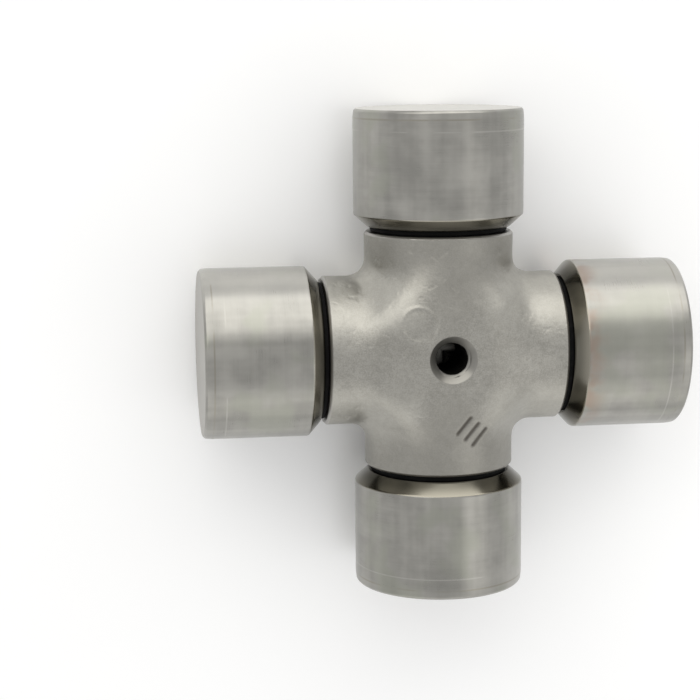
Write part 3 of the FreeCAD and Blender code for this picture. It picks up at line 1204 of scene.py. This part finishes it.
@dataclass
class SoftBox:
    """A rectangular lamp that faces the object."""

    name: str
    place: tuple[float, float, float]
    width: float
    height: float
    strength: float
    roll: float = 0.0
    colour: Colour = (1.0, 0.985, 0.94)

    def build(self) -> None:
        """Hangs the lamp. Its power gives the wanted brightness over its area."""
        light = bpy.data.lights.new(self.name, "AREA")
        light.shape = "RECTANGLE"
        light.size, light.size_y = self.width, self.height
        light.color = self.colour
        light.energy = self.strength * math.pi * self.width * self.height
        lamp = bpy.data.objects.new(self.name, light)
        lamp.location = self.place
        turn = (-Vector(self.place)).to_track_quat("-Z", "Y").to_matrix()
        lamp.rotation_euler = (turn @ Matrix.Rotation(math.radians(self.roll), 3, "Z")).to_euler()
        bpy.context.scene.collection.objects.link(lamp)


@dataclass
class Studio:
    """Pale floor, soft light and the camera."""

    camera_place: tuple[float, float, float] = (-0.076788, 0.069575, 0.415451)
    camera_target: tuple[float, float, float] = (-0.020101, -0.000136, 0.0)
    camera_roll: float = math.radians(-0.4565)
    lens: float = 97.2797
    floor_size: float = 6.0
    floor_colour: Colour = (0.93, 0.93, 0.93)
    floor_roughness: float = 0.3
    white_from: float = 0.05
    white_to: float = 0.18

    def lay_floor(self) -> None:
        """Lays the floor under the lowest point of the cups."""
        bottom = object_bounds()[0][2]
        half = self.floor_size / 2
        corners = [(x * half, y * half, bottom) for x, y in ((-1, -1), (1, -1), (1, 1), (-1, 1))]
        mesh = bpy.data.meshes.new("floor")
        mesh.from_pydata(corners, [], [(0, 1, 2, 3)])
        floor = bpy.data.objects.new("floor", mesh)
        bpy.context.scene.collection.objects.link(floor)
        mesh.materials.append(self.floor_material())
        floor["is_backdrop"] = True

    def floor_material(self) -> bpy.types.Material:
        """Pale satin floor that takes the shadow near the object and is plain white further out."""
        recipe = Recipe.named("floor")
        x, y, _ = recipe.split(recipe.add("ShaderNodeTexCoord", output="Object"))
        path = recipe.add("ShaderNodeLightPath").socket.node
        seen = Signal(recipe, path.outputs["Is Camera Ray"])
        seen = seen.bigger(Signal(recipe, path.outputs["Is Glossy Ray"]))
        seen = seen.bigger(Signal(recipe, path.outputs["Is Transmission Ray"]))
        far = (x * x + y * y).root().rise(self.white_from, self.white_to)
        pale = recipe.add("ShaderNodeBsdfPrincipled", {}, {
            "Base Color": (*self.floor_colour, 1.0), "Roughness": self.floor_roughness, "IOR": 2.0,
            "Specular IOR Level": 1.0})
        white = recipe.add("ShaderNodeEmission", {}, {"Strength": 1.0})
        return recipe.put_out(recipe.add("ShaderNodeMixShader", {}, {0: seen * far, 1: pale, 2: white}))

    def light_world(self) -> None:
        """A soft pale surround, a little brighter half way up."""
        recipe = Recipe(bpy.data.worlds.new("surround"))
        direction = recipe.add("ShaderNodeTexCoord", output="Generated")
        height = recipe.split(direction)[2]
        surround = recipe.add("ShaderNodeValToRGB", {"stops": [
            (0.0, (0.84, 0.84, 0.84)), (0.25, (0.84, 0.84, 0.84)), (0.6, (0.92, 0.92, 0.92)),
            (0.9, (0.82, 0.82, 0.82)), (1.0, (0.80, 0.80, 0.80))]}, {0: height})
        background = recipe.add("ShaderNodeBackground", {}, {"Color": surround, "Strength": 1.0})
        bpy.context.scene.world = recipe.put_out(background)

    def hang_lamps(self) -> None:
        """Hangs the soft boxes."""
        for lamp in (
            SoftBox("key_lamp", (-0.04, 0.62, 0.34), 1.50, 0.72, 1.35, roll=18.0),
            SoftBox("fill_lamp", (0.0, -0.62, 0.24), 1.30, 0.46, 0.50),
            SoftBox("side_lamp", (0.36, -0.17, 0.42), 0.26, 0.30, 0.6),
        ):
            lamp.build()

    def set_camera(self) -> None:
        """Places the camera as it stood for the picture."""
        camera = bpy.data.cameras.new("camera")
        camera.lens = self.lens
        camera.sensor_width = 36.0
        forward = (Vector(self.camera_target) - Vector(self.camera_place)).normalized()
        right = forward.cross(Vector((0.0, 1.0, 0.0))).normalized()
        up = right.cross(forward)
        level = Matrix((right, up, -forward)).transposed()
        turn = level @ Matrix.Rotation(self.camera_roll, 3, "Z")
        view = bpy.data.objects.new("camera", camera)
        view.matrix_world = Matrix.Translation(self.camera_place) @ turn.to_4x4()
        bpy.context.scene.collection.objects.link(view)
        bpy.context.scene.camera = view

    def build(self) -> None:
        """Sets up everything round the object."""
        self.set_camera()
        self.lay_floor()
        self.light_world()
        self.hang_lamps()
        bpy.context.scene.view_settings.view_transform = "Standard"


def main(frame: dict[str, Any]) -> None:
    """Builds the classes in order.
    """
    logging.basicConfig(level=logging.INFO, format="%(message)s")
    Studio().build()
    Spider().build()
    steel, rubber = GroundSteel().material(), SealRubber().material()
    for arm in Arm:
        BearingCup(arm).build(steel)
        LipSeal(arm).build(rubber)
    BearingInside(frame["nodes"]).dress()


if __name__ == "__main__":
    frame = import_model()
    main(frame)
